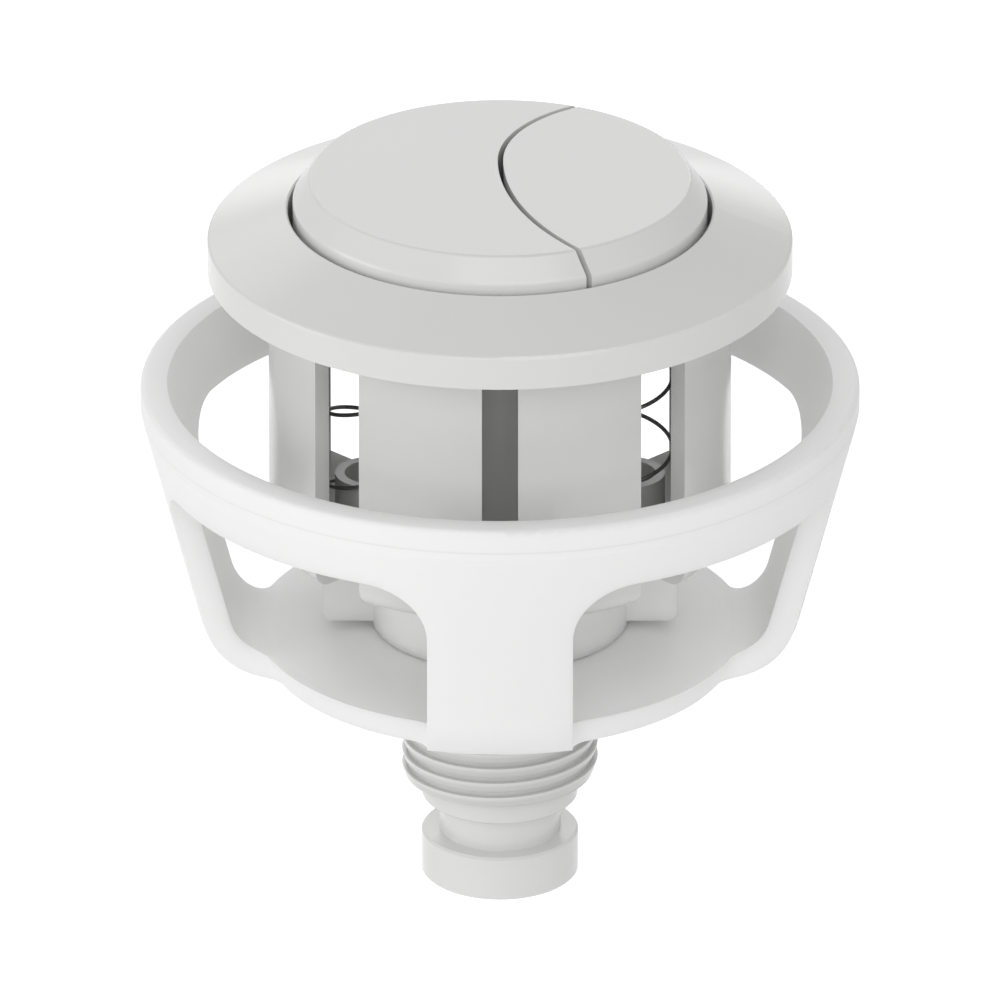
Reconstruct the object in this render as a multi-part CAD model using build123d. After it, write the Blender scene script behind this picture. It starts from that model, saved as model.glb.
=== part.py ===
from build123d import *
import os

# Two-button actuator for a cistern lid. Millimetres, +Z up, larger button on -X.
# The lid seat, the underside of the bezel's rim, is the plane z = 0.

os.makedirs("parts", exist_ok=True)

# Bezel on the lid
BEZEL_OVERHANG = 7.6
BEZEL_HEIGHT = 8.35
RIM_HEIGHT = 4.25
BEZEL_SKIN = 2.2
RIM_ROUND = 0.45
MOUTH_BEVEL = 0.25

# Slotted barrel through the lid
BORE_R = 26.5
BARREL_WALL = 2.4
BARREL_DEPTH = 36.1
FLOOR_THICK = 3.7
FOOT_ROUND = 2.5
SLOT_WIDTH = 7.7
SLOT_REACH = 6.0
SIGHT_SLOT_WIDTH = 4.5
SIGHT_SLOT_DEPTH = 30.0

# Guide tube and hollow stem, levels measured down from the lid seat
ROD_BORE_R = 6.0
TUBE_WALL = 1.75
TUBE_TOP_DEPTH = 8.0
THREAD_R = 12.35
THREAD_HEIGHT = 0.7
THREAD_END_DEPTH = 69.0
RELIEF_R = 9.8
RELIEF_END_DEPTH = 72.4
NECK_R = 7.65
NECK_END_DEPTH = 77.05
COLLAR_R = 9.85
STEM_DEPTH = 82.9
COLLAR_BEVEL = 0.3

# Return springs and the bosses that locate them
SPRING_TUBE_GAP = 2.42
SPRING_PLATE_GAP = 1.17
WIRE_R = 0.28
WIRE_SIDES = 5
SPRING_PITCH = 10.0
SPRING_FACING_DEPTH = 14.7
BOSS_CLEARANCE = 0.62
BOSS_WALL = 1.2
BOSS_HEIGHT = 4.3
PEG_CLEARANCE = 0.7
PEG_LENGTH = 5.0

# Buttons
BUTTON_GAP = 0.65
BUTTON_TOP = 12.35
CHAMFER_WIDTH = 2.05
CHAMFER_FOOT = 9.45
TOP_ROUND = 0.5
CHAMFER_ROUND = 0.8
SKIRT_DEPTH = 4.8
BUTTON_WALL = 1.6
TOP_THICK = 2.0
PRESS_TRAVEL = 6.0

# Split line between the buttons: two tangent arcs, centres on one line across
SPLIT_X = 0.05
SPLIT_Y = 5.3
SPLIT_BACK_R = 19.0
SPLIT_FRONT_R = 42.9
SPLIT_GAP = 0.7

# Lugs that keep the buttons in the barrel's slots
LUG_TOP_CLEARANCE = 0.3
LUG_SIDE_CLEARANCE = 0.6
LUG_SETBACK = 0.9
LUG_LIP = 0.6
LUG_RAMP = 1.8

# Half-round push rods
ROD_CLEARANCE = 0.25
ROD_PARTING = 0.4
ROD_RECESS = 2.0
ROD_HEAD_INSET = 0.15
ROD_HEAD_THICK = 2.0
STOP_SPARE = 0.3
POST_OFFSET = 3.4
POST_R = 2.4
SPIGOT_R = 1.4
SPIGOT_LENGTH = 5.0
SPIGOT_CLEARANCE = 0.05

# Clamping cage
CAGE_OVERHANG = 8.45
CAGE_TOP_DEPTH = 15.5
LIP_HEIGHT = 2.95
LIP_STEP = 0.25
LIP_ROUND = 0.68
LAND_HEIGHT = 1.1
CAGE_TAPER = 0.26
RIM_WIDTH = 3.35
CAGE_WALL = 3.3
HAUNCH_DEPTH = 12.5
FOOT_RADIUS = 9.0
ARM_WIDTH = 18.1
WINDOW_TOP_DEPTH = 24.87
WINDOW_TOP_RISE = 0.12
WINDOW_CORNER = 7.5
FLOOR_INSET = 6.86
FLOOR_EDGE_TAPER = 0.4
FLOOR_DISH = 0.082
FLOOR_CORNER = 3.0
CAGE_FLOOR = 4.4
SEAT_MARGIN = 0.5

# Wing nut, captive in the cage floor
HUB_DROP = 3.9
HUB_HEIGHT = 8.0
HUB_WALL = 3.6
HUB_BEVEL = 0.5
NUT_CLEARANCE = 0.2
NUT_NECK_WALL = 1.05
NECK_CLEARANCE = 0.3
SEAT_CLEARANCE = 0.1
SNAP_OVERHANG = 1.5
SNAP_TAPER = 1.7
WING_REACH = 6.05
WING_THICK = 6.6
WING_LIFT = 0.8
WING_ROUND = 1.2

# Levels and radii that follow from the sizes above
BARREL_R = BORE_R + BARREL_WALL
BEZEL_R = BARREL_R + BEZEL_OVERHANG
CAGE_R = BEZEL_R + CAGE_OVERHANG
SLOT_INNER_R = BORE_R - SLOT_REACH
FLOOR_TOP = FLOOR_THICK - BARREL_DEPTH
STEM_R = THREAD_R - THREAD_HEIGHT
TUBE_R = ROD_BORE_R + TUBE_WALL
PLATE_UNDERSIDE = BUTTON_TOP - TOP_THICK
BUTTON_R = BORE_R - BUTTON_GAP
TOP_FLAT_R = BUTTON_R - CHAMFER_WIDTH
HOLLOW_TOP_R = TOP_FLAT_R - BUTTON_WALL / 2
SPRING_INNER = TUBE_R + SPRING_TUBE_GAP
SPRING_OUTER = HOLLOW_TOP_R - SPRING_PLATE_GAP
SPRING_OFFSET = (SPRING_INNER + SPRING_OUTER) / 2
COIL_R = (SPRING_OUTER - SPRING_INNER) / 2 - WIRE_R
BOSS_R = COIL_R - WIRE_R - BOSS_CLEARANCE
HUB_TOP_DEPTH = BARREL_DEPTH + HUB_DROP
SEAT_DEPTH = HUB_TOP_DEPTH + HUB_HEIGHT
CAGE_FOOT_DEPTH = SEAT_DEPTH + CAGE_FLOOR
NUT_BORE_R = THREAD_R + NUT_CLEARANCE
HUB_R = NUT_BORE_R + HUB_WALL
NUT_NECK_R = NUT_BORE_R + NUT_NECK_WALL
ROD_HEAD_FOOT = PRESS_TRAVEL + STOP_SPARE - TUBE_TOP_DEPTH
ROD_HEAD_TOP = ROD_HEAD_FOOT + ROD_HEAD_THICK
PAST = 1.0
BIG = 4 * BEZEL_R


def turned(*corners):
    """Solid of revolution about Z from (radius, z) corners, some with an edge operation and its size."""
    face = make_face(Polyline(*[corner[:2] for corner in corners], close=True))
    for r, z, *edge in corners:
        if edge:
            operation, size = edge
            face = operation(face.vertices().sort_by_distance((r, z, 0))[0], size)
    return revolve(Plane.XZ * face, Axis.Z)


def make_body():
    """Bezel, barrel, floor, guide tube, stem and collar as one moulding."""
    rise = (BEZEL_HEIGHT - RIM_HEIGHT) / (BEZEL_R - BORE_R)
    rim_ceiling = RIM_HEIGHT + rise * BEZEL_SKIN - BEZEL_SKIN
    barrel_ceiling = RIM_HEIGHT + rise * (BEZEL_R - BARREL_R) - BEZEL_SKIN
    body = turned(
        (ROD_BORE_R, -TUBE_TOP_DEPTH),
        (TUBE_R, -TUBE_TOP_DEPTH),
        (TUBE_R, FLOOR_TOP),
        (BORE_R, FLOOR_TOP),
        (BORE_R, BEZEL_HEIGHT, chamfer, MOUTH_BEVEL),
        (BEZEL_R, RIM_HEIGHT, fillet, RIM_ROUND),
        (BEZEL_R, 0),
        (BEZEL_R - BEZEL_SKIN, 0),
        (BEZEL_R - BEZEL_SKIN, rim_ceiling),
        (BARREL_R, barrel_ceiling),
        (BARREL_R, -BARREL_DEPTH, fillet, FOOT_ROUND),
        (STEM_R, -BARREL_DEPTH),
        (STEM_R, -THREAD_END_DEPTH),
        (RELIEF_R, -THREAD_END_DEPTH),
        (RELIEF_R, -RELIEF_END_DEPTH, chamfer, COLLAR_BEVEL),
        (NECK_R, -RELIEF_END_DEPTH),
        (NECK_R, -NECK_END_DEPTH),
        (COLLAR_R, -NECK_END_DEPTH, chamfer, COLLAR_BEVEL),
        (COLLAR_R, -STEM_DEPTH, chamfer, COLLAR_BEVEL),
        (ROD_BORE_R, -STEM_DEPTH),
    )
    for angle in (45, 135, 225, 315):
        body -= Rot(0, 0, angle) * corner_slot()
    sight_outline = Pos(0, -SIGHT_SLOT_DEPTH / 2) * Rectangle(SIGHT_SLOT_WIDTH, SIGHT_SLOT_DEPTH)
    sight_slot = extrude(Plane.XZ * sight_outline, BARREL_R + PAST)
    sight_slot -= Cylinder(BORE_R - PAST, BIG)
    body -= sight_slot
    body -= Rot(0, 0, 180) * sight_slot
    for side in (-1, 1):
        seat = Pos(side * SPRING_OFFSET, 0, FLOOR_TOP)
        body += seat * extrude(Circle(BOSS_R), BOSS_HEIGHT)
        body -= seat * Cylinder(BOSS_R - BOSS_WALL, 2 * (BOSS_HEIGHT + FLOOR_THICK))
    return body


def corner_slot():
    """Slot between two legs on +X, from the lid seat down through the foot."""
    outline = Pos(0, -BARREL_DEPTH / 2) * Rectangle(SLOT_WIDTH, BARREL_DEPTH)
    return extrude(Plane.YZ.offset(SLOT_INNER_R) * outline, BARREL_R + PAST - SLOT_INNER_R)


def half_flush_side(shift):
    """Tall prism on the half-flush side of the split line, its edge moved by shift towards -X."""
    plan = Sketch()
    for radius, half in ((SPLIT_BACK_R, 1), (SPLIT_FRONT_R, -1)):
        disc = Pos(SPLIT_X + radius, SPLIT_Y) * Circle(radius + shift)
        strip = Pos(SPLIT_X + radius, SPLIT_Y + half * BIG / 2) * Rectangle(BIG, BIG)
        plan += disc & strip
    return extrude(plan, BIG, both=True)


def own_side(solid, side, setback):
    """Piece of a solid on one button's side of the split line, held back from it."""
    prism = half_flush_side(-side * setback)
    return solid & prism if side > 0 else solid - prism


def make_button(side):
    """Hollow button on one side of the split (-1 full flush, 1 half flush)."""
    button = turned(
        (0, BUTTON_TOP),
        (TOP_FLAT_R, BUTTON_TOP, fillet, TOP_ROUND),
        (BUTTON_R, CHAMFER_FOOT, fillet, CHAMFER_ROUND),
        (BUTTON_R, -SKIRT_DEPTH),
        (0, -SKIRT_DEPTH),
    )
    hollow = turned(
        (0, PLATE_UNDERSIDE),
        (HOLLOW_TOP_R, PLATE_UNDERSIDE),
        (BUTTON_R - BUTTON_WALL, CHAMFER_FOOT - BUTTON_WALL / 2),
        (BUTTON_R - BUTTON_WALL, -SKIRT_DEPTH - PAST),
        (0, -SKIRT_DEPTH - PAST),
    )
    button = own_side(button, side, SPLIT_GAP / 2)
    button -= own_side(hollow, side, SPLIT_GAP / 2 + BUTTON_WALL)
    split_wall_foot = Pos(0, 0, ROD_HEAD_TOP + STOP_SPARE)
    button -= hollow & split_wall_foot * extrude(Rectangle(BIG, BIG), -BIG)
    post_foot = Pos(side * POST_OFFSET, 0, ROD_HEAD_TOP)
    button += post_foot * extrude(Circle(POST_R), PLATE_UNDERSIDE - ROD_HEAD_TOP)
    button -= post_foot * extrude(Circle(SPIGOT_R + SPIGOT_CLEARANCE), SPIGOT_LENGTH + STOP_SPARE)
    peg_r = COIL_R - WIRE_R - PEG_CLEARANCE
    peg_foot = Pos(side * SPRING_OFFSET, 0, PLATE_UNDERSIDE - PEG_LENGTH)
    button += peg_foot * extrude(Circle(peg_r), PEG_LENGTH)
    for angle in (45, -45):
        button += Rot(0, 0, angle if side > 0 else 180 - angle) * retaining_lug()
    return button


def retaining_lug():
    """Ramped snap lug on +X that reaches into a barrel slot."""
    root = BUTTON_R - BUTTON_WALL / 2
    tip = BARREL_R - LUG_SETBACK
    top = -LUG_TOP_CLEARANCE
    outline = make_face(Polyline(
        (root, top), (tip, top), (tip, top - LUG_LIP), (root, top - LUG_LIP - LUG_RAMP), close=True))
    return extrude(Plane.XZ * outline, SLOT_WIDTH / 2 - LUG_SIDE_CLEARANCE, both=True)


def make_rod(side):
    """Half-round rod with a stop head and a spigot for its button."""
    foot = ROD_RECESS - STEM_DEPTH
    rod = Pos(0, 0, foot) * extrude(Circle(ROD_BORE_R - ROD_CLEARANCE), ROD_HEAD_FOOT - foot)
    rod += Pos(0, 0, ROD_HEAD_FOOT) * extrude(Circle(TUBE_R - ROD_HEAD_INSET), ROD_HEAD_THICK)
    rod = own_side(rod, side, SPLIT_GAP / 2)
    rod = rod & Pos(side * (BIG / 2 + ROD_PARTING / 2), 0, 0) * Box(BIG, BIG, 2 * BIG)
    return rod + Pos(side * POST_OFFSET, 0, ROD_HEAD_TOP) * extrude(Circle(SPIGOT_R), SPIGOT_LENGTH)


def make_spring(side):
    """Coil from the barrel floor up to the button's plate."""
    start = FLOOR_TOP + WIRE_R
    height = PLATE_UNDERSIDE - WIRE_R - start
    start_angle = 360 * (start + SPRING_FACING_DEPTH) / SPRING_PITCH
    path = Helix(SPRING_PITCH, height, COIL_R)
    section = Plane(origin=path @ 0, z_dir=path % 0) * RegularPolygon(WIRE_R, WIRE_SIDES)
    coil = sweep(section, path, is_frenet=True)
    return Pos(side * SPRING_OFFSET, 0, start) * Rot(0, 0, start_angle) * coil


def make_cage():
    """Tapered cage with a lipped rim, four arms and a dished floor."""
    lip_foot = -CAGE_TOP_DEPTH - LIP_HEIGHT
    land_foot = lip_foot - LAND_HEIGHT
    land_r = CAGE_R - LIP_STEP
    haunch = -CAGE_TOP_DEPTH - HAUNCH_DEPTH

    def outer_r(z):
        return land_r + CAGE_TAPER * (z - land_foot)

    seat_r = HUB_R + SEAT_MARGIN
    foot_r = outer_r(-CAGE_FOOT_DEPTH)
    heel_r = foot_r - CAGE_WALL
    heel = -SEAT_DEPTH - FLOOR_DISH * (heel_r - seat_r)
    cage = turned(
        (CAGE_R - RIM_WIDTH, -CAGE_TOP_DEPTH),
        (CAGE_R, -CAGE_TOP_DEPTH, fillet, LIP_ROUND),
        (CAGE_R, lip_foot),
        (land_r, lip_foot),
        (land_r, land_foot),
        (foot_r, -CAGE_FOOT_DEPTH, fillet, FOOT_RADIUS),
        (NUT_NECK_R + NECK_CLEARANCE, -CAGE_FOOT_DEPTH),
        (NUT_NECK_R + NECK_CLEARANCE, -SEAT_DEPTH),
        (seat_r, -SEAT_DEPTH),
        (outer_r(heel) - CAGE_WALL, heel, fillet, FOOT_RADIUS - CAGE_WALL),
        (outer_r(haunch) - CAGE_WALL, haunch),
    )
    window = window_cutter(outer_r(-WINDOW_TOP_DEPTH), foot_r - FLOOR_INSET)
    for angle in (0, 90, 180, 270):
        cage -= Rot(0, 0, angle) * window
    return cage


def window_cutter(head_r, floor_r):
    """Window in the quadrant of +X and +Y: sloping head, rounded head corners, filleted at the floor."""
    edge = ARM_WIDTH / 2
    reach = 2 * CAGE_R
    head_at_axis = WINDOW_TOP_RISE * head_r - WINDOW_TOP_DEPTH
    under_head = turned(
        (0, head_at_axis),
        (reach, head_at_axis - WINDOW_TOP_RISE * reach),
        (reach, -BIG),
        (0, -BIG),
    )
    bay = under_head & Pos(edge + CAGE_R / 2, edge / 2 + CAGE_R / 2, 0) * Box(CAGE_R, CAGE_R, 2 * BIG)
    head_edge = bay.edges().filter_by(GeomType.HYPERBOLA).sort_by(Axis.X)[0]
    bay = fillet(head_edge, WINDOW_CORNER)
    bay = bay & mirror(bay, Plane((0, 0, 0), z_dir=(1, -1, 0)))
    low = -CAGE_FOOT_DEPTH - PAST
    high = -SEAT_DEPTH + PAST
    outside_floor = loft([window_plan(floor_r, low), window_plan(floor_r, high)], ruled=True)
    outside_floor += extrude(window_plan(floor_r, high), BIG)
    return bay & outside_floor


def window_plan(floor_r, level):
    """Window's plan at one level, between two arms and outside the floor's tapered edge."""
    edge = ARM_WIDTH / 2
    radius = floor_r + FLOOR_EDGE_TAPER * (level + CAGE_FOOT_DEPTH)
    across = (radius ** 2 - edge ** 2) ** 0.5
    plan = Pos(edge + BIG / 2, edge + BIG / 2) * Rectangle(BIG, BIG) - Circle(radius)
    for corner in ((edge, across, 0), (across, edge, 0)):
        plan = fillet(plan.vertices().sort_by_distance(corner)[0], FLOOR_CORNER)
    return Pos(0, 0, level) * plan


def make_wing_nut():
    """Hub on the cage floor, neck through it and a snap rim below, with two wings along X."""
    base = -SEAT_DEPTH + SEAT_CLEARANCE
    snap_top = -CAGE_FOOT_DEPTH - SEAT_CLEARANCE
    nut = turned(
        (NUT_BORE_R, -HUB_TOP_DEPTH),
        (HUB_R, -HUB_TOP_DEPTH, chamfer, HUB_BEVEL),
        (HUB_R, base),
        (NUT_NECK_R, base),
        (NUT_NECK_R, snap_top),
        (NUT_NECK_R + SNAP_OVERHANG, snap_top),
        (NUT_NECK_R, snap_top - SNAP_TAPER),
        (NUT_BORE_R, snap_top - SNAP_TAPER),
    )
    wing_foot = base + WING_LIFT
    wing_height = -HUB_TOP_DEPTH - wing_foot
    outline = RectangleRounded(2 * (HUB_R + WING_REACH), wing_height, WING_ROUND)
    wings = extrude(Plane.XZ * Pos(0, wing_foot + wing_height / 2) * outline, WING_THICK / 2, both=True)
    wings -= Cylinder((NUT_BORE_R + HUB_R) / 2, BIG * 2)
    return nut + wings


pieces = {
    "body": make_body(),
    "full_flush_button": make_button(-1),
    "half_flush_button": make_button(1),
    "full_flush_rod": make_rod(-1),
    "half_flush_rod": make_rod(1),
    "full_flush_spring": make_spring(-1),
    "half_flush_spring": make_spring(1),
    "cage": make_cage(),
    "wing_nut": make_wing_nut(),
}
for name, piece in pieces.items():
    export_step(piece, f"parts/{name}.step")
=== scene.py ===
import math

import bpy
from bpy.props import FloatProperty, FloatVectorProperty, PointerProperty
from bpy.types import Operator, Panel, PropertyGroup
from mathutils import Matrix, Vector


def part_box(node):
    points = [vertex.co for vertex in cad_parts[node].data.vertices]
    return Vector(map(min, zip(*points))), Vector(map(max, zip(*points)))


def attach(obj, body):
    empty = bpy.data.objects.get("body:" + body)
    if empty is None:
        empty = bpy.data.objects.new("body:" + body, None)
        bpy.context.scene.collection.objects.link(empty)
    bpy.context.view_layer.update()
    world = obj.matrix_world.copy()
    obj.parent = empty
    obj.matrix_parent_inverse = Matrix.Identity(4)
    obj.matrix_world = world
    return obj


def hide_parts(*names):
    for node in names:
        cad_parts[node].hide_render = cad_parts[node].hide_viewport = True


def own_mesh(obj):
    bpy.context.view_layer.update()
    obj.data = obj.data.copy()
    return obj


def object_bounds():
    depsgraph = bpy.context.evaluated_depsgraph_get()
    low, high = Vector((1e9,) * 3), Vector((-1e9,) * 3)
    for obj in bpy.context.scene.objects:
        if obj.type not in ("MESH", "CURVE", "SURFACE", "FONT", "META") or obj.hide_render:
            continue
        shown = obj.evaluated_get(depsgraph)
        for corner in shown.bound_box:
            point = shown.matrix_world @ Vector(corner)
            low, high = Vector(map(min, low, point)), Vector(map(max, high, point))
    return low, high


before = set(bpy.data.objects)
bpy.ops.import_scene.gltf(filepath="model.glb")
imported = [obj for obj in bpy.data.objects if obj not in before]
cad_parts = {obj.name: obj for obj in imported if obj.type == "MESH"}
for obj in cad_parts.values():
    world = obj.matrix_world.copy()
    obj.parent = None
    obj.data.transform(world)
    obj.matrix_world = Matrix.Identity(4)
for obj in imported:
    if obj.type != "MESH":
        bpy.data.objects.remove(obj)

bl_info = {
    "name": "Cistern push button",
    "version": (1, 0, 0),
    "blender": (4, 5, 0),
    "location": "View3D > Sidebar > Cistern button",
    "description": "Finishes, stem thread, springs and studio of a two-button cistern actuator",
    "category": "Object",
}

MM = 0.001
CAD_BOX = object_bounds()
SIDES = ("full_flush", "half_flush")
CLAMP = ("cage", "wing_nut")

# Soft boxes of the studio: name, place and width in metres, power in watts
SOFT_BOXES = (
    ("front_light", (0.1, -1.2, 0.6), 1.3, 7.7),
    ("left_light", (-1.3, -0.2, 0.1), 0.8, 4.0),
    ("back_light", (0.0, 1.3, 0.3), 0.8, 1.9),
    ("back_left_light", (-0.45, 1.15, 0.7), 0.6, 1.0),
)
FLOOR_HALF = 4.0
CAMERA_REACH = 50.0

# Under the thread's crest, where the shade painted into the valleys is full and where it ends
VALLEY_FULL = 0.25 * MM
VALLEY_END = 0.05 * MM

# How much darker the painted shadow line under the cage's lip is, and how deep the lip's outside
# reaches in
LIP_LINE_SHADE = 0.08
LIP_REACH = 1.5 * MM

# Share of a turn over which the thread runs out at its ends, and the size it ends at
RUN_OUT = 0.1
RUN_OUT_SIZE = 0.05


class PlasticSettings(PropertyGroup):
    """Colours and gloss of the moulded pieces"""

    housing_colour: FloatVectorProperty(
        name="Housing colour",
        description="Light grey plastic of the bezel, barrel, stem and buttons",
        subtype="COLOR",
        size=3,
        min=0,
        max=1,
        default=(0.73, 0.73, 0.724),
    )
    clamp_colour: FloatVectorProperty(
        name="Clamp colour",
        description="White plastic of the cage and the wing nut",
        subtype="COLOR",
        size=3,
        min=0,
        max=1,
        default=(0.92, 0.92, 0.915),
    )
    rod_colour: FloatVectorProperty(
        name="Rod colour",
        description="Natural plastic of the push rods",
        subtype="COLOR",
        size=3,
        min=0,
        max=1,
        default=(0.55, 0.55, 0.53),
    )
    housing_roughness: FloatProperty(
        name="Housing roughness",
        description="How dull the light grey plastic is",
        subtype="FACTOR",
        min=0,
        max=1,
        default=0.22,
    )
    clamp_roughness: FloatProperty(
        name="Clamp roughness",
        description="How dull the white plastic is",
        subtype="FACTOR",
        min=0,
        max=1,
        default=0.5,
    )
    clamp_glow: FloatProperty(
        name="Clamp glow",
        description="Share of the light that spreads inside the white plastic",
        subtype="FACTOR",
        min=0,
        max=1,
        default=0.6,
    )
    clamp_glow_depth: FloatProperty(
        name="Clamp glow depth",
        description="How far light spreads inside the white plastic",
        unit="LENGTH",
        min=0,
        default=5.0 * MM,
    )
    # Painted shadow line under the lip of the cage: its height and half width
    painted_lip_shadow: FloatProperty(
        name="Lip line",
        description="Height of the fine line under the lip of the cage",
        unit="LENGTH",
        default=-18.5 * MM,
    )
    painted_lip_shadow_width: FloatProperty(
        name="Lip line width",
        description="Half the width of the fine line under the lip",
        unit="LENGTH",
        min=0.0001,
        default=0.3 * MM,
    )


class ThreadSettings(PropertyGroup):
    """Ridge of the thread on the stem"""

    crest_radius: FloatProperty(
        name="Crest radius",
        description="Outside radius of the thread",
        unit="LENGTH",
        min=0.001,
        default=12.35 * MM,
    )
    root_radius: FloatProperty(
        name="Root radius",
        description="Radius of the plain stem that carries the ridge",
        unit="LENGTH",
        min=0.001,
        default=11.65 * MM,
    )
    pitch: FloatProperty(
        name="Pitch",
        description="Rise of the thread in one turn",
        unit="LENGTH",
        min=0.0005,
        default=2.0 * MM,
    )
    foot: FloatProperty(
        name="Foot level",
        description="Height of the lowest end of the ridge's middle line",
        unit="LENGTH",
        default=-68.8 * MM,
    )
    head: FloatProperty(
        name="Head level",
        description="Height of the highest end of the ridge's middle line",
        unit="LENGTH",
        default=-37.2 * MM,
    )
    facing_level: FloatProperty(
        name="Facing level",
        description="A height at which the ridge passes its +X side",
        unit="LENGTH",
        default=-67.65 * MM,
    )
    crest_width: FloatProperty(
        name="Crest width",
        description="Width of the ridge at its top",
        unit="LENGTH",
        min=0.0001,
        default=0.5 * MM,
    )
    base_width: FloatProperty(
        name="Base width",
        description="Width of the ridge where it meets the stem",
        unit="LENGTH",
        min=0.0001,
        default=1.4 * MM,
    )
    crest_round: FloatProperty(
        name="Crest rounding",
        description="Radius on the edges of the ridge",
        unit="LENGTH",
        min=0,
        default=0.1 * MM,
    )
    # Strength of the painted shade: base colour darkened in the thread's valleys
    valley_painted_shade: FloatProperty(
        name="Valley tone",
        description="How much darker the plastic is in the valleys",
        subtype="FACTOR",
        min=0,
        max=1,
        default=0.14,
    )


class SpringSettings(PropertyGroup):
    """Wire of the two return springs"""

    coil_radius: FloatProperty(
        name="Coil radius",
        description="Radius of the wire's middle line",
        unit="LENGTH",
        min=0.001,
        default=5.55 * MM,
    )
    wire_radius: FloatProperty(
        name="Wire radius",
        description="Half the thickness of the wire",
        unit="LENGTH",
        min=0.0001,
        default=0.26 * MM,
    )
    pitch: FloatProperty(
        name="Pitch",
        description="Rise of the open coils in one turn",
        unit="LENGTH",
        min=0.0005,
        default=10.0 * MM,
    )
    facing_level: FloatProperty(
        name="Facing level",
        description="A height at which the wire passes its +X side",
        unit="LENGTH",
        default=-14.7 * MM,
    )
    colour: FloatVectorProperty(
        name="Wire colour",
        description="Dark steel of the wire",
        subtype="COLOR",
        size=3,
        min=0,
        max=1,
        default=(0.24, 0.24, 0.235),
    )


class StudioSettings(PropertyGroup):
    """Camera and light round the part"""

    camera_distance: FloatProperty(
        name="Camera distance",
        description="From the camera to the point it looks at",
        unit="LENGTH",
        min=0.1,
        default=3.389,
    )
    camera_elevation: FloatProperty(
        name="Camera elevation",
        description="Angle of the camera above the horizon",
        subtype="ANGLE",
        default=math.radians(24.91),
    )
    camera_aim: FloatProperty(
        name="Camera aim",
        description="Height on the part's axis that the camera looks at",
        unit="LENGTH",
        default=-31.95 * MM,
    )
    lens: FloatProperty(
        name="Lens",
        description="Focal length in millimetres",
        min=1,
        default=974.5,
    )
    floor_drop: FloatProperty(
        name="Floor drop",
        description="How far the floor lies under the stem",
        unit="LENGTH",
        min=0,
        default=0.3,
    )
    ambient: FloatProperty(
        name="Ambient light",
        description="Strength of the even light from all round",
        min=0,
        default=0.5,
    )


class CisternButtonSettings(PropertyGroup):
    """All settings of the part's looks"""

    plastic: PointerProperty(type=PlasticSettings)
    thread: PointerProperty(type=ThreadSettings)
    spring: PointerProperty(type=SpringSettings)
    studio: PointerProperty(type=StudioSettings)


def add_node(tree, kind, **inputs):
    """New node with the given input values, named as its sockets are with _ for a space."""
    node = tree.nodes.new(kind)
    for name, value in inputs.items():
        node.inputs[name.replace("_", " ")].default_value = value
    return node


def join(tree, source, output, target, socket):
    """Link from one node's output to another's input, by socket name or number."""
    tree.links.new(source.outputs[output], target.inputs[socket])


def geometry_tree(name, inputs):
    """Empty Geometry Nodes tree with float inputs, a material input and one geometry output."""
    tree = bpy.data.node_groups.new(name, "GeometryNodeTree")
    for label in inputs:
        tree.interface.new_socket(label, in_out="INPUT", socket_type="NodeSocketFloat")
    tree.interface.new_socket("Material", in_out="INPUT", socket_type="NodeSocketMaterial")
    tree.interface.new_socket("Geometry", in_out="OUTPUT", socket_type="NodeSocketGeometry")
    return tree, tree.nodes.new("NodeGroupInput"), tree.nodes.new("NodeGroupOutput")


def math_node(tree, operation, first, second):
    """Math node on two values, each a number or a (node, output) pair."""
    node = tree.nodes.new("ShaderNodeMath")
    node.operation = operation
    for socket, value in zip(node.inputs, (first, second)):
        if isinstance(value, tuple):
            tree.links.new(value[0].outputs[value[1]], socket)
        else:
            socket.default_value = value
    return node


def finish_tree(tree, group_in, group_out, shape):
    """Smooth shading, realised instances and the piece's material at the end of a tree."""
    smooth = tree.nodes.new("GeometryNodeSetShadeSmooth")
    real = tree.nodes.new("GeometryNodeRealizeInstances")
    finish = tree.nodes.new("GeometryNodeSetMaterial")
    join(tree, shape, 0, smooth, "Geometry")
    join(tree, smooth, 0, real, "Geometry")
    join(tree, real, 0, finish, "Geometry")
    join(tree, group_in, "Material", finish, "Material")
    join(tree, finish, 0, group_out, "Geometry")


def baked_piece(name, tree, values):
    """Mesh object made once from a tree with the given input values."""
    carrier = bpy.data.objects.new(name + "_source", bpy.data.meshes.new(name + "_source"))
    bpy.context.scene.collection.objects.link(carrier)
    modifier = carrier.modifiers.new("Shape", "NODES")
    modifier.node_group = tree
    for item in tree.interface.items_tree:
        if item.in_out == "INPUT":
            modifier[item.identifier] = values[item.name]
    shown = carrier.evaluated_get(bpy.context.evaluated_depsgraph_get())
    mesh = bpy.data.meshes.new_from_object(shown)
    mesh.name = name
    carrier.modifiers.remove(modifier)
    bpy.data.objects.remove(carrier)
    if not mesh.polygons:
        raise RuntimeError(f"{name} came out empty")
    piece = bpy.data.objects.new(name, mesh)
    bpy.context.scene.collection.objects.link(piece)
    return piece


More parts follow.
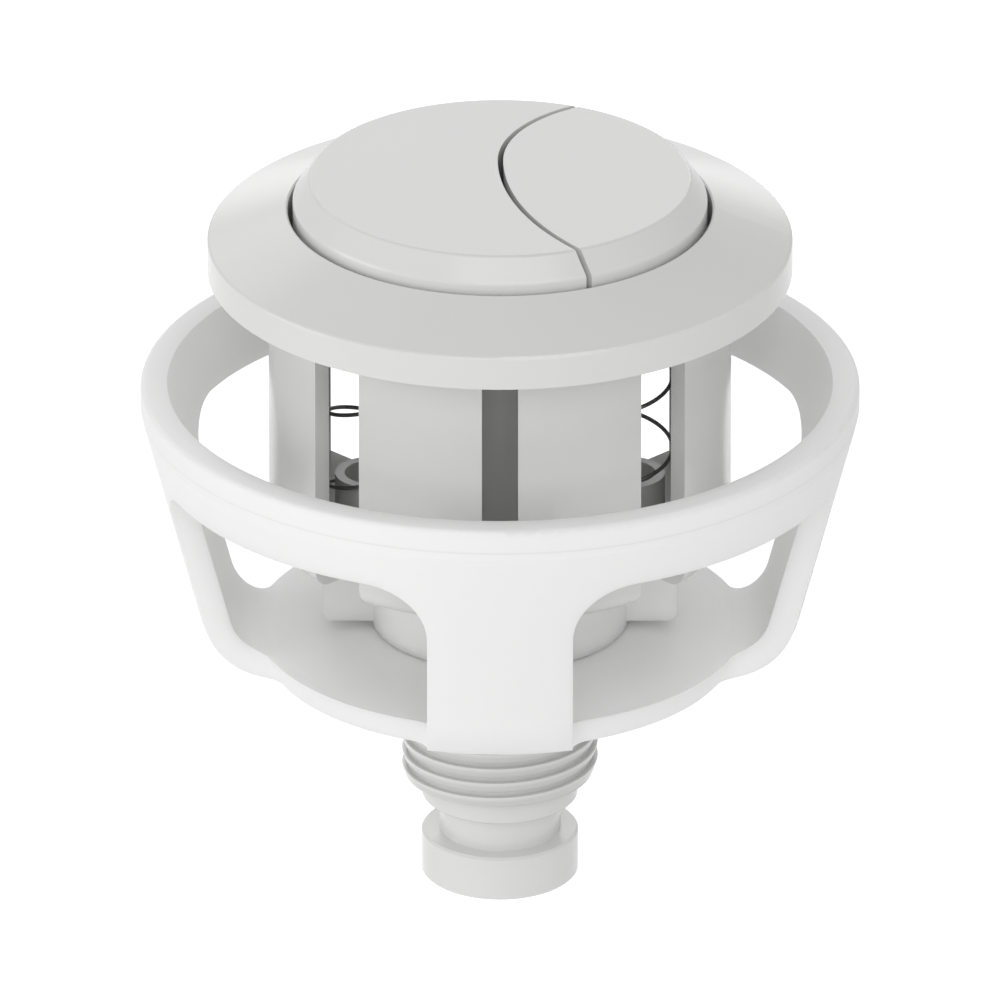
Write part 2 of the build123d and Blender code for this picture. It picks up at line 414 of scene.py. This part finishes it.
def moulded_skin():
    """Shader group for moulded plastic: slight cloudiness, uneven gloss and a fine grain."""
    name = "Moulded skin"
    if name in bpy.data.node_groups:
        return bpy.data.node_groups[name]
    tree = bpy.data.node_groups.new(name, "ShaderNodeTree")
    for label, kind in (
        ("Colour", "NodeSocketColor"),
        ("Cloud", "NodeSocketFloat"),
        ("Roughness", "NodeSocketFloat"),
        ("Roughness Spread", "NodeSocketFloat"),
        ("Grain Scale", "NodeSocketFloat"),
    ):
        tree.interface.new_socket(label, in_out="INPUT", socket_type=kind)
    for label, kind in (
        ("Colour", "NodeSocketColor"),
        ("Roughness", "NodeSocketFloat"),
        ("Height", "NodeSocketFloat"),
    ):
        tree.interface.new_socket(label, in_out="OUTPUT", socket_type=kind)
    group_in = tree.nodes.new("NodeGroupInput")
    group_out = tree.nodes.new("NodeGroupOutput")
    place = tree.nodes.new("ShaderNodeTexCoord")
    cloud = add_node(tree, "ShaderNodeTexNoise", Scale=60.0, Detail=3.0, Roughness=0.5)
    grain = add_node(tree, "ShaderNodeTexNoise", Detail=2.0, Roughness=0.6)
    join(tree, place, "Object", cloud, "Vector")
    join(tree, place, "Object", grain, "Vector")
    join(tree, group_in, "Grain Scale", grain, "Scale")
    centred = math_node(tree, "SUBTRACT", (cloud, "Fac"), 0.5)
    shade = math_node(tree, "MULTIPLY", (centred, 0), (group_in, "Cloud"))
    level = math_node(tree, "ADD", (shade, 0), 1.0)
    tint = tree.nodes.new("ShaderNodeVectorMath")
    tint.operation = "SCALE"
    join(tree, group_in, "Colour", tint, 0)
    tree.links.new(level.outputs[0], tint.inputs["Scale"])
    join(tree, tint, 0, group_out, "Colour")
    gloss = math_node(tree, "MULTIPLY", (centred, 0), (group_in, "Roughness Spread"))
    rough = math_node(tree, "ADD", (gloss, 0), (group_in, "Roughness"))
    join(tree, rough, 0, group_out, "Roughness")
    join(tree, grain, "Fac", group_out, "Height")
    return tree


def plastic(name, colour, roughness, specular, cloud, grain_scale, grain_depth):
    """Moulded plastic with its own colour, gloss and grain."""
    material = bpy.data.materials.new(name)
    material.use_nodes = True
    tree = material.node_tree
    shader = tree.nodes["Principled BSDF"]
    shader.inputs["IOR"].default_value = 1.5
    shader.inputs["Specular IOR Level"].default_value = specular
    skin = tree.nodes.new("ShaderNodeGroup")
    skin.node_tree = moulded_skin()
    skin.inputs["Colour"].default_value = (*colour, 1)
    skin.inputs["Cloud"].default_value = cloud
    skin.inputs["Roughness"].default_value = roughness
    skin.inputs["Roughness Spread"].default_value = 0.12
    skin.inputs["Grain Scale"].default_value = grain_scale
    bump = add_node(tree, "ShaderNodeBump", Strength=0.15, Distance=grain_depth)
    join(tree, skin, "Colour", shader, "Base Color")
    join(tree, skin, "Roughness", shader, "Roughness")
    join(tree, skin, "Height", bump, "Height")
    join(tree, bump, "Normal", shader, "Normal")
    return material


def axis_reach(tree):
    """Separated Object coordinates and the distance from the part's axis."""
    place = tree.nodes.new("ShaderNodeTexCoord")
    axes = tree.nodes.new("ShaderNodeSeparateXYZ")
    join(tree, place, "Object", axes, 0)
    across = math_node(tree, "MULTIPLY", (axes, "X"), (axes, "X"))
    along = math_node(tree, "MULTIPLY", (axes, "Y"), (axes, "Y"))
    square = math_node(tree, "ADD", (across, 0), (along, 0))
    return axes, math_node(tree, "SQRT", (square, 0), 0.0)


def fading(tree, value, full, none):
    """Mask that eases from 1 to 0 as a value goes from one level to another."""
    mask = tree.nodes.new("ShaderNodeMapRange")
    mask.interpolation_type = "SMOOTHSTEP"
    for socket, level in (("From Min", full), ("From Max", none), ("To Min", 1.0), ("To Max", 0.0)):
        mask.inputs[socket].default_value = level
    join(tree, value, 0, mask, "Value")
    return mask


def darken(material, mask, amount):
    """Less of the base colour where a mask is 1."""
    tree = material.node_tree
    shader = tree.nodes["Principled BSDF"]
    plain = shader.inputs["Base Color"].links[0].from_socket
    depth = math_node(tree, "MULTIPLY", (mask, 0), amount)
    keep = math_node(tree, "SUBTRACT", 1.0, (depth, 0))
    shaded = tree.nodes.new("ShaderNodeVectorMath")
    shaded.operation = "SCALE"
    tree.links.new(plain, shaded.inputs[0])
    tree.links.new(keep.outputs[0], shaded.inputs["Scale"])
    join(tree, shaded, 0, shader, "Base Color")


def add_painted_valley_shade(material, thread):
    """Painted shade in the valleys of the thread, on the ridge and on the stem under it, darker
    towards the root.
    """
    tree = material.node_tree
    axes, reach = axis_reach(tree)
    crest = thread.crest_radius
    valley = fading(tree, reach, crest - VALLEY_FULL, crest - VALLEY_END)
    above = math_node(tree, "GREATER_THAN", (axes, "Z"), thread.foot - thread.base_width / 3)
    below = math_node(tree, "LESS_THAN", (axes, "Z"), thread.head + thread.base_width / 2)
    span = math_node(tree, "MULTIPLY", (above, 0), (below, 0))
    tone = math_node(tree, "MULTIPLY", (valley, 0), (span, 0))
    darken(material, tone, thread.valley_painted_shade)


def add_painted_lip_shadow(material, level, half_width, radius):
    """Painted shadow line round the outside of the cage, at the foot of its lip."""
    tree = material.node_tree
    axes, reach = axis_reach(tree)
    outside = math_node(tree, "GREATER_THAN", (reach, 0), radius)
    rise = math_node(tree, "SUBTRACT", (axes, "Z"), level)
    away = math_node(tree, "ABSOLUTE", (rise, 0), 0.0)
    band = fading(tree, away, 0.0, half_width)
    line = math_node(tree, "MULTIPLY", (band, 0), (outside, 0))
    darken(material, line, LIP_LINE_SHADE)


def housing_plastic(settings):
    """The light grey plastic, made once and shared by the housing's pieces."""
    name = "housing_plastic"
    if name in bpy.data.materials:
        return bpy.data.materials[name]
    tone = settings.plastic
    material = plastic(
        name,
        tone.housing_colour,
        tone.housing_roughness,
        specular=0.5,
        cloud=0.02,
        grain_scale=4000.0,
        grain_depth=4e-6,
    )
    # Painted shade in the thread's valleys, darker towards the root
    add_painted_valley_shade(material, settings.thread)
    return material


def give_finish(node, material):
    """Material on a CAD node in place of its plain one."""
    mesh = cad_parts[node].data
    mesh.materials.clear()
    mesh.materials.append(material)


class CISTERN_OT_housing(Operator):
    """Light grey plastic on the housing and the two buttons, and the push rods' own plastic"""

    bl_idname = "cistern.housing"
    bl_label = "Housing and buttons"

    def execute(self, context):
        settings = context.scene.cistern_button
        grey = housing_plastic(settings)
        give_finish("body", grey)
        natural = plastic(
            "rod_plastic",
            settings.plastic.rod_colour,
            roughness=0.4,
            specular=0.5,
            cloud=0.04,
            grain_scale=2500.0,
            grain_depth=6e-6,
        )
        for side in SIDES:
            give_finish(side + "_button", grey)
            give_finish(side + "_rod", natural)
        return {"FINISHED"}


class CISTERN_OT_clamp(Operator):
    """White plastic on the cage and its wing nut"""

    bl_idname = "cistern.clamp"
    bl_label = "Cage and wing nut"

    def execute(self, context):
        settings = context.scene.cistern_button.plastic
        white = plastic(
            "clamp_plastic",
            settings.clamp_colour,
            settings.clamp_roughness,
            specular=0.35,
            cloud=0.02,
            grain_scale=2500.0,
            grain_depth=8e-6,
        )
        shader = white.node_tree.nodes["Principled BSDF"]
        shader.inputs["Subsurface Weight"].default_value = settings.clamp_glow
        shader.inputs["Subsurface Radius"].default_value = (1, 1, 1)
        shader.inputs["Subsurface Scale"].default_value = settings.clamp_glow_depth
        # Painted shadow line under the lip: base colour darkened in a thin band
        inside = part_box("cage")[1].x - LIP_REACH
        add_painted_lip_shadow(white, settings.painted_lip_shadow, settings.painted_lip_shadow_width, inside)
        for node in CLAMP:
            give_finish(node, white)
        return {"FINISHED"}


def helix_angle(level, winding):
    """Angle from +X at which a right-hand thread or coil passes a level."""
    return 2 * math.pi * (level - winding.facing_level) / winding.pitch


def thread_tree():
    """Ridge with a trapezium section along a helix, running out at both ends."""
    tree, group_in, group_out = geometry_tree(
        "Stem thread",
        (
            "Root Radius",
            "Ridge Height",
            "Crest Width",
            "Base Width",
            "Edge Radius",
            "Turns",
            "Height",
            "Start Angle",
            "Foot",
        ),
    )
    helix = add_node(tree, "GeometryNodeCurveSpiral", Resolution=96, Reverse=True)
    join(tree, group_in, "Turns", helix, "Rotations")
    join(tree, group_in, "Root Radius", helix, "Start Radius")
    join(tree, group_in, "Root Radius", helix, "End Radius")
    join(tree, group_in, "Height", helix, "Height")
    upright = tree.nodes.new("GeometryNodeSetCurveNormal")
    upright.mode = "Z_UP"
    join(tree, helix, 0, upright, "Curve")
    along = tree.nodes.new("GeometryNodeSplineParameter")
    to_end = math_node(tree, "SUBTRACT", 1.0, (along, "Factor"))
    nearest = math_node(tree, "MINIMUM", (along, "Factor"), (to_end, 0))
    fade = math_node(tree, "MULTIPLY", (nearest, 0), (group_in, "Turns"))
    fade = math_node(tree, "MULTIPLY", (fade, 0), 1 / RUN_OUT)
    fade = math_node(tree, "MINIMUM", (fade, 0), 1.0)
    fade = math_node(tree, "MAXIMUM", (fade, 0), RUN_OUT_SIZE)
    sized = tree.nodes.new("GeometryNodeSetCurveRadius")
    join(tree, upright, 0, sized, "Curve")
    join(tree, fade, 0, sized, "Radius")
    section = tree.nodes.new("GeometryNodeCurvePrimitiveQuadrilateral")
    section.mode = "TRAPEZOID"
    section.inputs["Offset"].default_value = 0.0
    height = math_node(tree, "MULTIPLY", (group_in, "Ridge Height"), 2.0)
    join(tree, group_in, "Crest Width", section, "Top Width")
    join(tree, group_in, "Base Width", section, "Bottom Width")
    join(tree, height, 0, section, "Height")
    eased = tree.nodes.new("GeometryNodeFilletCurve")
    eased.mode = "POLY"
    eased.inputs["Count"].default_value = 3
    join(tree, section, 0, eased, "Curve")
    join(tree, group_in, "Edge Radius", eased, "Radius")
    ridge = add_node(tree, "GeometryNodeCurveToMesh", Fill_Caps=True)
    join(tree, sized, 0, ridge, "Curve")
    join(tree, eased, 0, ridge, "Profile Curve")
    lift = tree.nodes.new("ShaderNodeCombineXYZ")
    join(tree, group_in, "Foot", lift, "Z")
    turn = tree.nodes.new("ShaderNodeCombineXYZ")
    join(tree, group_in, "Start Angle", turn, "Z")
    placed = tree.nodes.new("GeometryNodeTransform")
    join(tree, ridge, 0, placed, "Geometry")
    join(tree, lift, 0, placed, "Translation")
    join(tree, turn, 0, placed, "Rotation")
    finish_tree(tree, group_in, group_out, placed)
    return tree


class CISTERN_OT_thread(Operator):
    """Helical ridge round the stem, on which the wing nut climbs"""

    bl_idname = "cistern.thread"
    bl_label = "Stem thread"

    def execute(self, context):
        settings = context.scene.cistern_button
        thread = settings.thread
        height = thread.head - thread.foot
        ridge = baked_piece(
            "stem_thread",
            thread_tree(),
            {
                "Root Radius": thread.root_radius,
                "Ridge Height": thread.crest_radius - thread.root_radius,
                "Crest Width": thread.crest_width,
                "Base Width": thread.base_width,
                "Edge Radius": thread.crest_round,
                "Turns": height / thread.pitch,
                "Height": height,
                "Start Angle": helix_angle(thread.foot, thread),
                "Foot": thread.foot,
                "Material": housing_plastic(settings),
            },
        )
        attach(ridge, "housing")
        return {"FINISHED"}


def spring_tree():
    """Round wire wound on a helix from a foot level, starting at a given angle."""
    tree, group_in, group_out = geometry_tree(
        "Return spring",
        ("Coil Radius", "Wire Radius", "Turns", "Height", "Start Angle", "Across", "Foot"),
    )
    helix = add_node(tree, "GeometryNodeCurveSpiral", Resolution=64, Reverse=True)
    join(tree, group_in, "Turns", helix, "Rotations")
    join(tree, group_in, "Coil Radius", helix, "Start Radius")
    join(tree, group_in, "Coil Radius", helix, "End Radius")
    join(tree, group_in, "Height", helix, "Height")
    section = add_node(tree, "GeometryNodeCurvePrimitiveCircle", Resolution=12)
    join(tree, group_in, "Wire Radius", section, "Radius")
    wire = add_node(tree, "GeometryNodeCurveToMesh", Fill_Caps=True)
    join(tree, helix, 0, wire, "Curve")
    join(tree, section, 0, wire, "Profile Curve")
    seat = tree.nodes.new("ShaderNodeCombineXYZ")
    join(tree, group_in, "Across", seat, "X")
    join(tree, group_in, "Foot", seat, "Z")
    turn = tree.nodes.new("ShaderNodeCombineXYZ")
    join(tree, group_in, "Start Angle", turn, "Z")
    placed = tree.nodes.new("GeometryNodeTransform")
    join(tree, wire, 0, placed, "Geometry")
    join(tree, seat, 0, placed, "Translation")
    join(tree, turn, 0, placed, "Rotation")
    finish_tree(tree, group_in, group_out, placed)
    return tree


def spring_steel(colour):
    """Dull drawn wire with fine streaks."""
    material = bpy.data.materials.new("spring_steel")
    material.use_nodes = True
    tree = material.node_tree
    shader = tree.nodes["Principled BSDF"]
    shader.inputs["Metallic"].default_value = 0.6
    place = tree.nodes.new("ShaderNodeTexCoord")
    streak = add_node(tree, "ShaderNodeTexNoise", Scale=900.0, Detail=2.0)
    join(tree, place, "Object", streak, "Vector")
    tone = tree.nodes.new("ShaderNodeMapRange")
    tone.inputs["To Min"].default_value = 0.3
    tone.inputs["To Max"].default_value = 0.5
    join(tree, streak, "Fac", tone, "Value")
    join(tree, tone, "Result", shader, "Roughness")
    shader.inputs["Base Color"].default_value = (*colour, 1)
    return material


class CISTERN_OT_springs(Operator):
    """Round wire coils in place of the plain return springs"""

    bl_idname = "cistern.springs"
    bl_label = "Return springs"

    def execute(self, context):
        spring = context.scene.cistern_button.spring
        steel = spring_steel(spring.colour)
        tree = spring_tree()
        for side in SIDES:
            node = side + "_spring"
            low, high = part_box(node)
            foot = low.z + spring.wire_radius
            height = high.z - low.z - 2 * spring.wire_radius
            coil = baked_piece(
                side + "_coil",
                tree,
                {
                    "Coil Radius": spring.coil_radius,
                    "Wire Radius": spring.wire_radius,
                    "Turns": height / spring.pitch,
                    "Height": height,
                    "Start Angle": helix_angle(foot, spring),
                    "Across": (low.x + high.x) / 2,
                    "Foot": foot,
                    "Material": steel,
                },
            )
            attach(coil, side)
            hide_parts(node)
            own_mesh(coil)
        return {"FINISHED"}


def white_to_camera(tree):
    """Value that is 1 for rays seen directly, in a reflection or through glass."""
    path = tree.nodes.new("ShaderNodeLightPath")
    seen = math_node(tree, "MAXIMUM", (path, "Is Camera Ray"), (path, "Is Glossy Ray"))
    return math_node(tree, "MAXIMUM", (seen, 0), (path, "Is Transmission Ray"))


def studio_world(ambient):
    """White surround that lights the part evenly."""
    world = bpy.data.worlds.new("studio")
    bpy.context.scene.world = world
    world.use_nodes = True
    tree = world.node_tree
    output = tree.nodes["World Output"]
    even = tree.nodes["Background"]
    even.inputs["Color"].default_value = (1, 1, 1, 1)
    even.inputs["Strength"].default_value = ambient
    white = add_node(tree, "ShaderNodeBackground", Color=(1, 1, 1, 1), Strength=1.0)
    pick = tree.nodes.new("ShaderNodeMixShader")
    join(tree, white_to_camera(tree), 0, pick, 0)
    join(tree, even, 0, pick, 1)
    join(tree, white, 0, pick, 2)
    join(tree, pick, 0, output, "Surface")


def studio_floor(level):
    """Wide white floor that still shows the part's shadow and is clear from below."""
    mesh = bpy.data.meshes.new("floor")
    signs = ((-1, -1), (1, -1), (1, 1), (-1, 1))
    corners = [(x * FLOOR_HALF, y * FLOOR_HALF, level) for x, y in signs]
    mesh.from_pydata(corners, [], [(0, 1, 2, 3)])
    floor = bpy.data.objects.new("floor", mesh)
    bpy.context.scene.collection.objects.link(floor)
    material = bpy.data.materials.new("floor_white")
    material.use_nodes = True
    tree = material.node_tree
    shader = tree.nodes["Principled BSDF"]
    shader.inputs["Base Color"].default_value = (0.9, 0.9, 0.9, 1)
    shader.inputs["Roughness"].default_value = 0.9
    glow = add_node(tree, "ShaderNodeEmission", Color=(1, 1, 1, 1), Strength=0.5)
    both = tree.nodes.new("ShaderNodeAddShader")
    pick = tree.nodes.new("ShaderNodeMixShader")
    join(tree, shader, 0, both, 0)
    join(tree, glow, 0, both, 1)
    join(tree, white_to_camera(tree), 0, pick, 0)
    join(tree, shader, 0, pick, 1)
    join(tree, both, 0, pick, 2)
    side = tree.nodes.new("ShaderNodeNewGeometry")
    clear = tree.nodes.new("ShaderNodeBsdfTransparent")
    shown = tree.nodes.new("ShaderNodeMixShader")
    join(tree, side, "Backfacing", shown, 0)
    join(tree, pick, 0, shown, 1)
    join(tree, clear, 0, shown, 2)
    join(tree, shown, 0, tree.nodes["Material Output"], "Surface")
    mesh.materials.append(material)


def soft_box(name, place, aim, size, power):
    """Square area lamp aimed at a point."""
    lamp = bpy.data.lights.new(name, "AREA")
    lamp.shape = "SQUARE"
    lamp.size = size
    lamp.energy = power
    holder = bpy.data.objects.new(name, lamp)
    holder.location = place
    holder.rotation_euler = (Vector(aim) - Vector(place)).to_track_quat("-Z", "Y").to_euler()
    bpy.context.scene.collection.objects.link(holder)


class CISTERN_OT_studio(Operator):
    """White floor, soft light and the camera"""

    bl_idname = "cistern.studio"
    bl_label = "Studio"

    def execute(self, context):
        studio = context.scene.cistern_button.studio
        context.scene.view_settings.view_transform = "Standard"
        studio_world(studio.ambient)
        studio_floor(CAD_BOX[0].z - studio.floor_drop)
        aim = Vector((0, 0, studio.camera_aim))
        for name, place, size, power in SOFT_BOXES:
            soft_box(name, place, aim, size, power)
        camera = bpy.data.objects.new("camera", bpy.data.cameras.new("camera"))
        camera.data.lens = studio.lens
        camera.data.clip_end = CAMERA_REACH
        back = Vector((0, -math.cos(studio.camera_elevation), math.sin(studio.camera_elevation)))
        camera.location = aim + back * studio.camera_distance
        camera.rotation_euler = (-back).to_track_quat("-Z", "Y").to_euler()
        context.scene.collection.objects.link(camera)
        context.scene.camera = camera
        return {"FINISHED"}


class CISTERN_PT_sidebar(Panel):
    """Lists the pieces and their settings"""

    bl_idname = "CISTERN_PT_sidebar"
    bl_label = "Cistern button"
    bl_space_type = "VIEW_3D"
    bl_region_type = "UI"
    bl_category = "Cistern button"

    def draw(self, context):
        for operator in OPERATORS:
            self.layout.operator(operator.bl_idname)
        settings = context.scene.cistern_button
        for group in (settings.plastic, settings.thread, settings.spring, settings.studio):
            column = self.layout.column()
            for name in group.__annotations__:
                column.prop(group, name)


OPERATORS = (
    CISTERN_OT_housing,
    CISTERN_OT_clamp,
    CISTERN_OT_thread,
    CISTERN_OT_springs,
    CISTERN_OT_studio,
)
CLASSES = (
    PlasticSettings,
    ThreadSettings,
    SpringSettings,
    StudioSettings,
    CisternButtonSettings,
    *OPERATORS,
    CISTERN_PT_sidebar,
)


def register():
    for cls in CLASSES:
        bpy.utils.register_class(cls)
    bpy.types.Scene.cistern_button = PointerProperty(type=CisternButtonSettings)


def unregister():
    del bpy.types.Scene.cistern_button
    for cls in reversed(CLASSES):
        bpy.utils.unregister_class(cls)


def main():
    register()
    bpy.ops.cistern.housing()
    bpy.ops.cistern.clamp()
    bpy.ops.cistern.thread()
    bpy.ops.cistern.springs()
    bpy.ops.cistern.studio()


if __name__ == "__main__":
    main()
